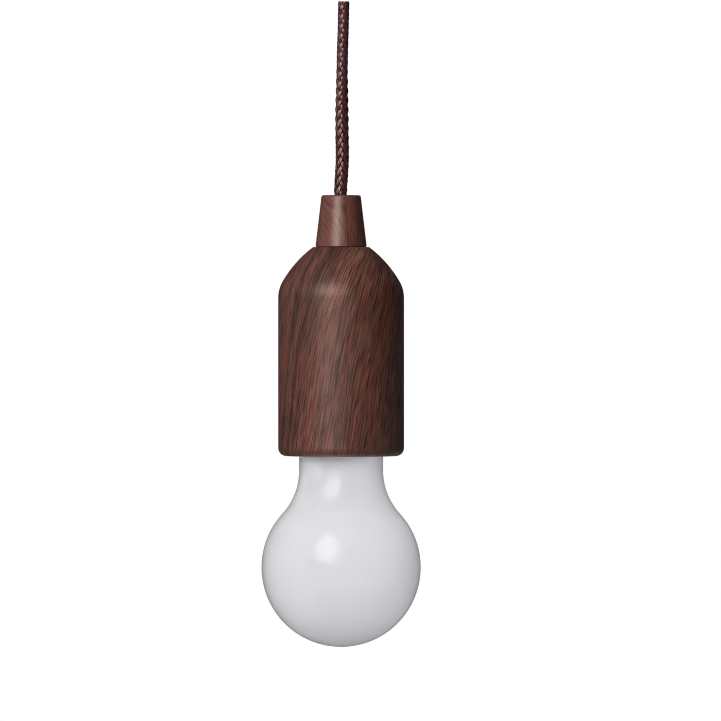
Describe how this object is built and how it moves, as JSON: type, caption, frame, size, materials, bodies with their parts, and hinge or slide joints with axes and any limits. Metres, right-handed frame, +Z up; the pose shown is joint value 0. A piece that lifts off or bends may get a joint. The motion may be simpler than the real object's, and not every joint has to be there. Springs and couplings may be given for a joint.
{
  "type": "pull cord switch lamp",
  "caption": "Battery pendant lamp with a pull switch: braided cord, tapered cap, bottle-shaped woodgrain housing and an opal globe; pulling the lamp down works the switch.",
  "frame": {"origin": "centre of the cord's upper end", "axes": "+Z up along the cord; the lamp hangs below the origin, and +X points from the stem towards the switch inside the housing"},
  "size_m": [0.055, 0.055, 0.2227],
  "materials": {
    "cord_textile": "braided cotton look, matt",
    "cord_yarn": "loose filler yarn",
    "wood_print": "dark walnut print under a satin clear coat",
    "opal_plastic": "opal, glossy outside",
    "brown_plastic": "moulded, satin",
    "ivory_plastic": "moulded, fine texture",
    "acetal": "turned, slightly waxy",
    "black_plastic": "moulded, satin",
    "red_plastic": "moulded, smooth",
    "spring_steel": "drawn wire, lightly oiled",
    "zinc_steel": "zinc plated",
    "nickel_contact": "nickel plated strip",
    "brass": "turned",
    "gold_pad": "plated pad",
    "board_green": "solder mask",
    "board_white": "white solder mask",
    "phosphor": "phosphor in a white frame",
    "cell_jacket": "printed sleeve, steel ends",
    "wire_red": "insulation",
    "wire_black": "insulation"
  },
  "bodies": {
    "cord_set": {"cord_braid": "cord_textile", "cord_core": "cord_yarn", "cord_cone": "wood_print", "pull_stem": "acetal", "cord_ferrule": "brass", "pull_yoke": "acetal", "stem_push_nut": "spring_steel", "spring_washer": "zinc_steel"},
    "housing": {"housing_shell": "wood_print", "stem_bush": "ivory_plastic", "return_spring": "spring_steel", "switch_bracket": "ivory_plastic", "bracket_screws": "zinc_steel", "switch_case": "black_plastic", "switch_terminals": "nickel_contact", "contact_leaf_battery": "nickel_contact", "contact_leaf_lamp": "nickel_contact", "switch_wire_red": "wire_red", "switch_wire_black": "wire_black"},
    "plunger": {"switch_plunger": "red_plastic"},
    "battery_cartridge": {"battery_holder": "ivory_plastic", "battery_cell_a": "cell_jacket", "battery_cell_b": "cell_jacket", "battery_cell_c": "cell_jacket", "pad_board": "board_green", "contact_pads": "gold_pad", "cell_contact_positive": "nickel_contact", "cell_contact_negative": "nickel_contact", "link_contact_top": "nickel_contact", "link_contact_bottom": "nickel_contact", "cell_springs": "spring_steel", "led_wire": "wire_black", "led_board": "board_white", "led_chips": "phosphor", "led_resistor": "black_plastic", "board_screws": "zinc_steel"},
    "bulb": {"bulb_collar": "brown_plastic", "globe_diffuser": "opal_plastic"}
  },
  "joints": [
    {"name": "lamp_pull", "type": "slide", "parent": "cord_set", "child": "housing", "axis": [0, 0, -1], "range_m": [0, 0.003], "stiffness_N_per_m": 900, "springref_m": -0.004, "deforming": ["return_spring"]},
    {"name": "switch_push", "type": "slide", "parent": "housing", "child": "plunger", "axis": [0, 0, 1], "range_m": [0, 0.003]},
    {"name": "battery_draw", "type": "slide", "parent": "housing", "child": "battery_cartridge", "axis": [0, 0, -1], "range_m": [0, 0.055]},
    {"name": "bulb_lock", "type": "hinge", "parent": "battery_cartridge", "child": "bulb", "pos_m": [0, 0, -0.15], "axis": [0, 0, 1], "range_deg": [0, 40]}
  ],
  "couplings": [
    {"joint": "switch_push", "follows": "lamp_pull", "ratio": 1}
  ]
}
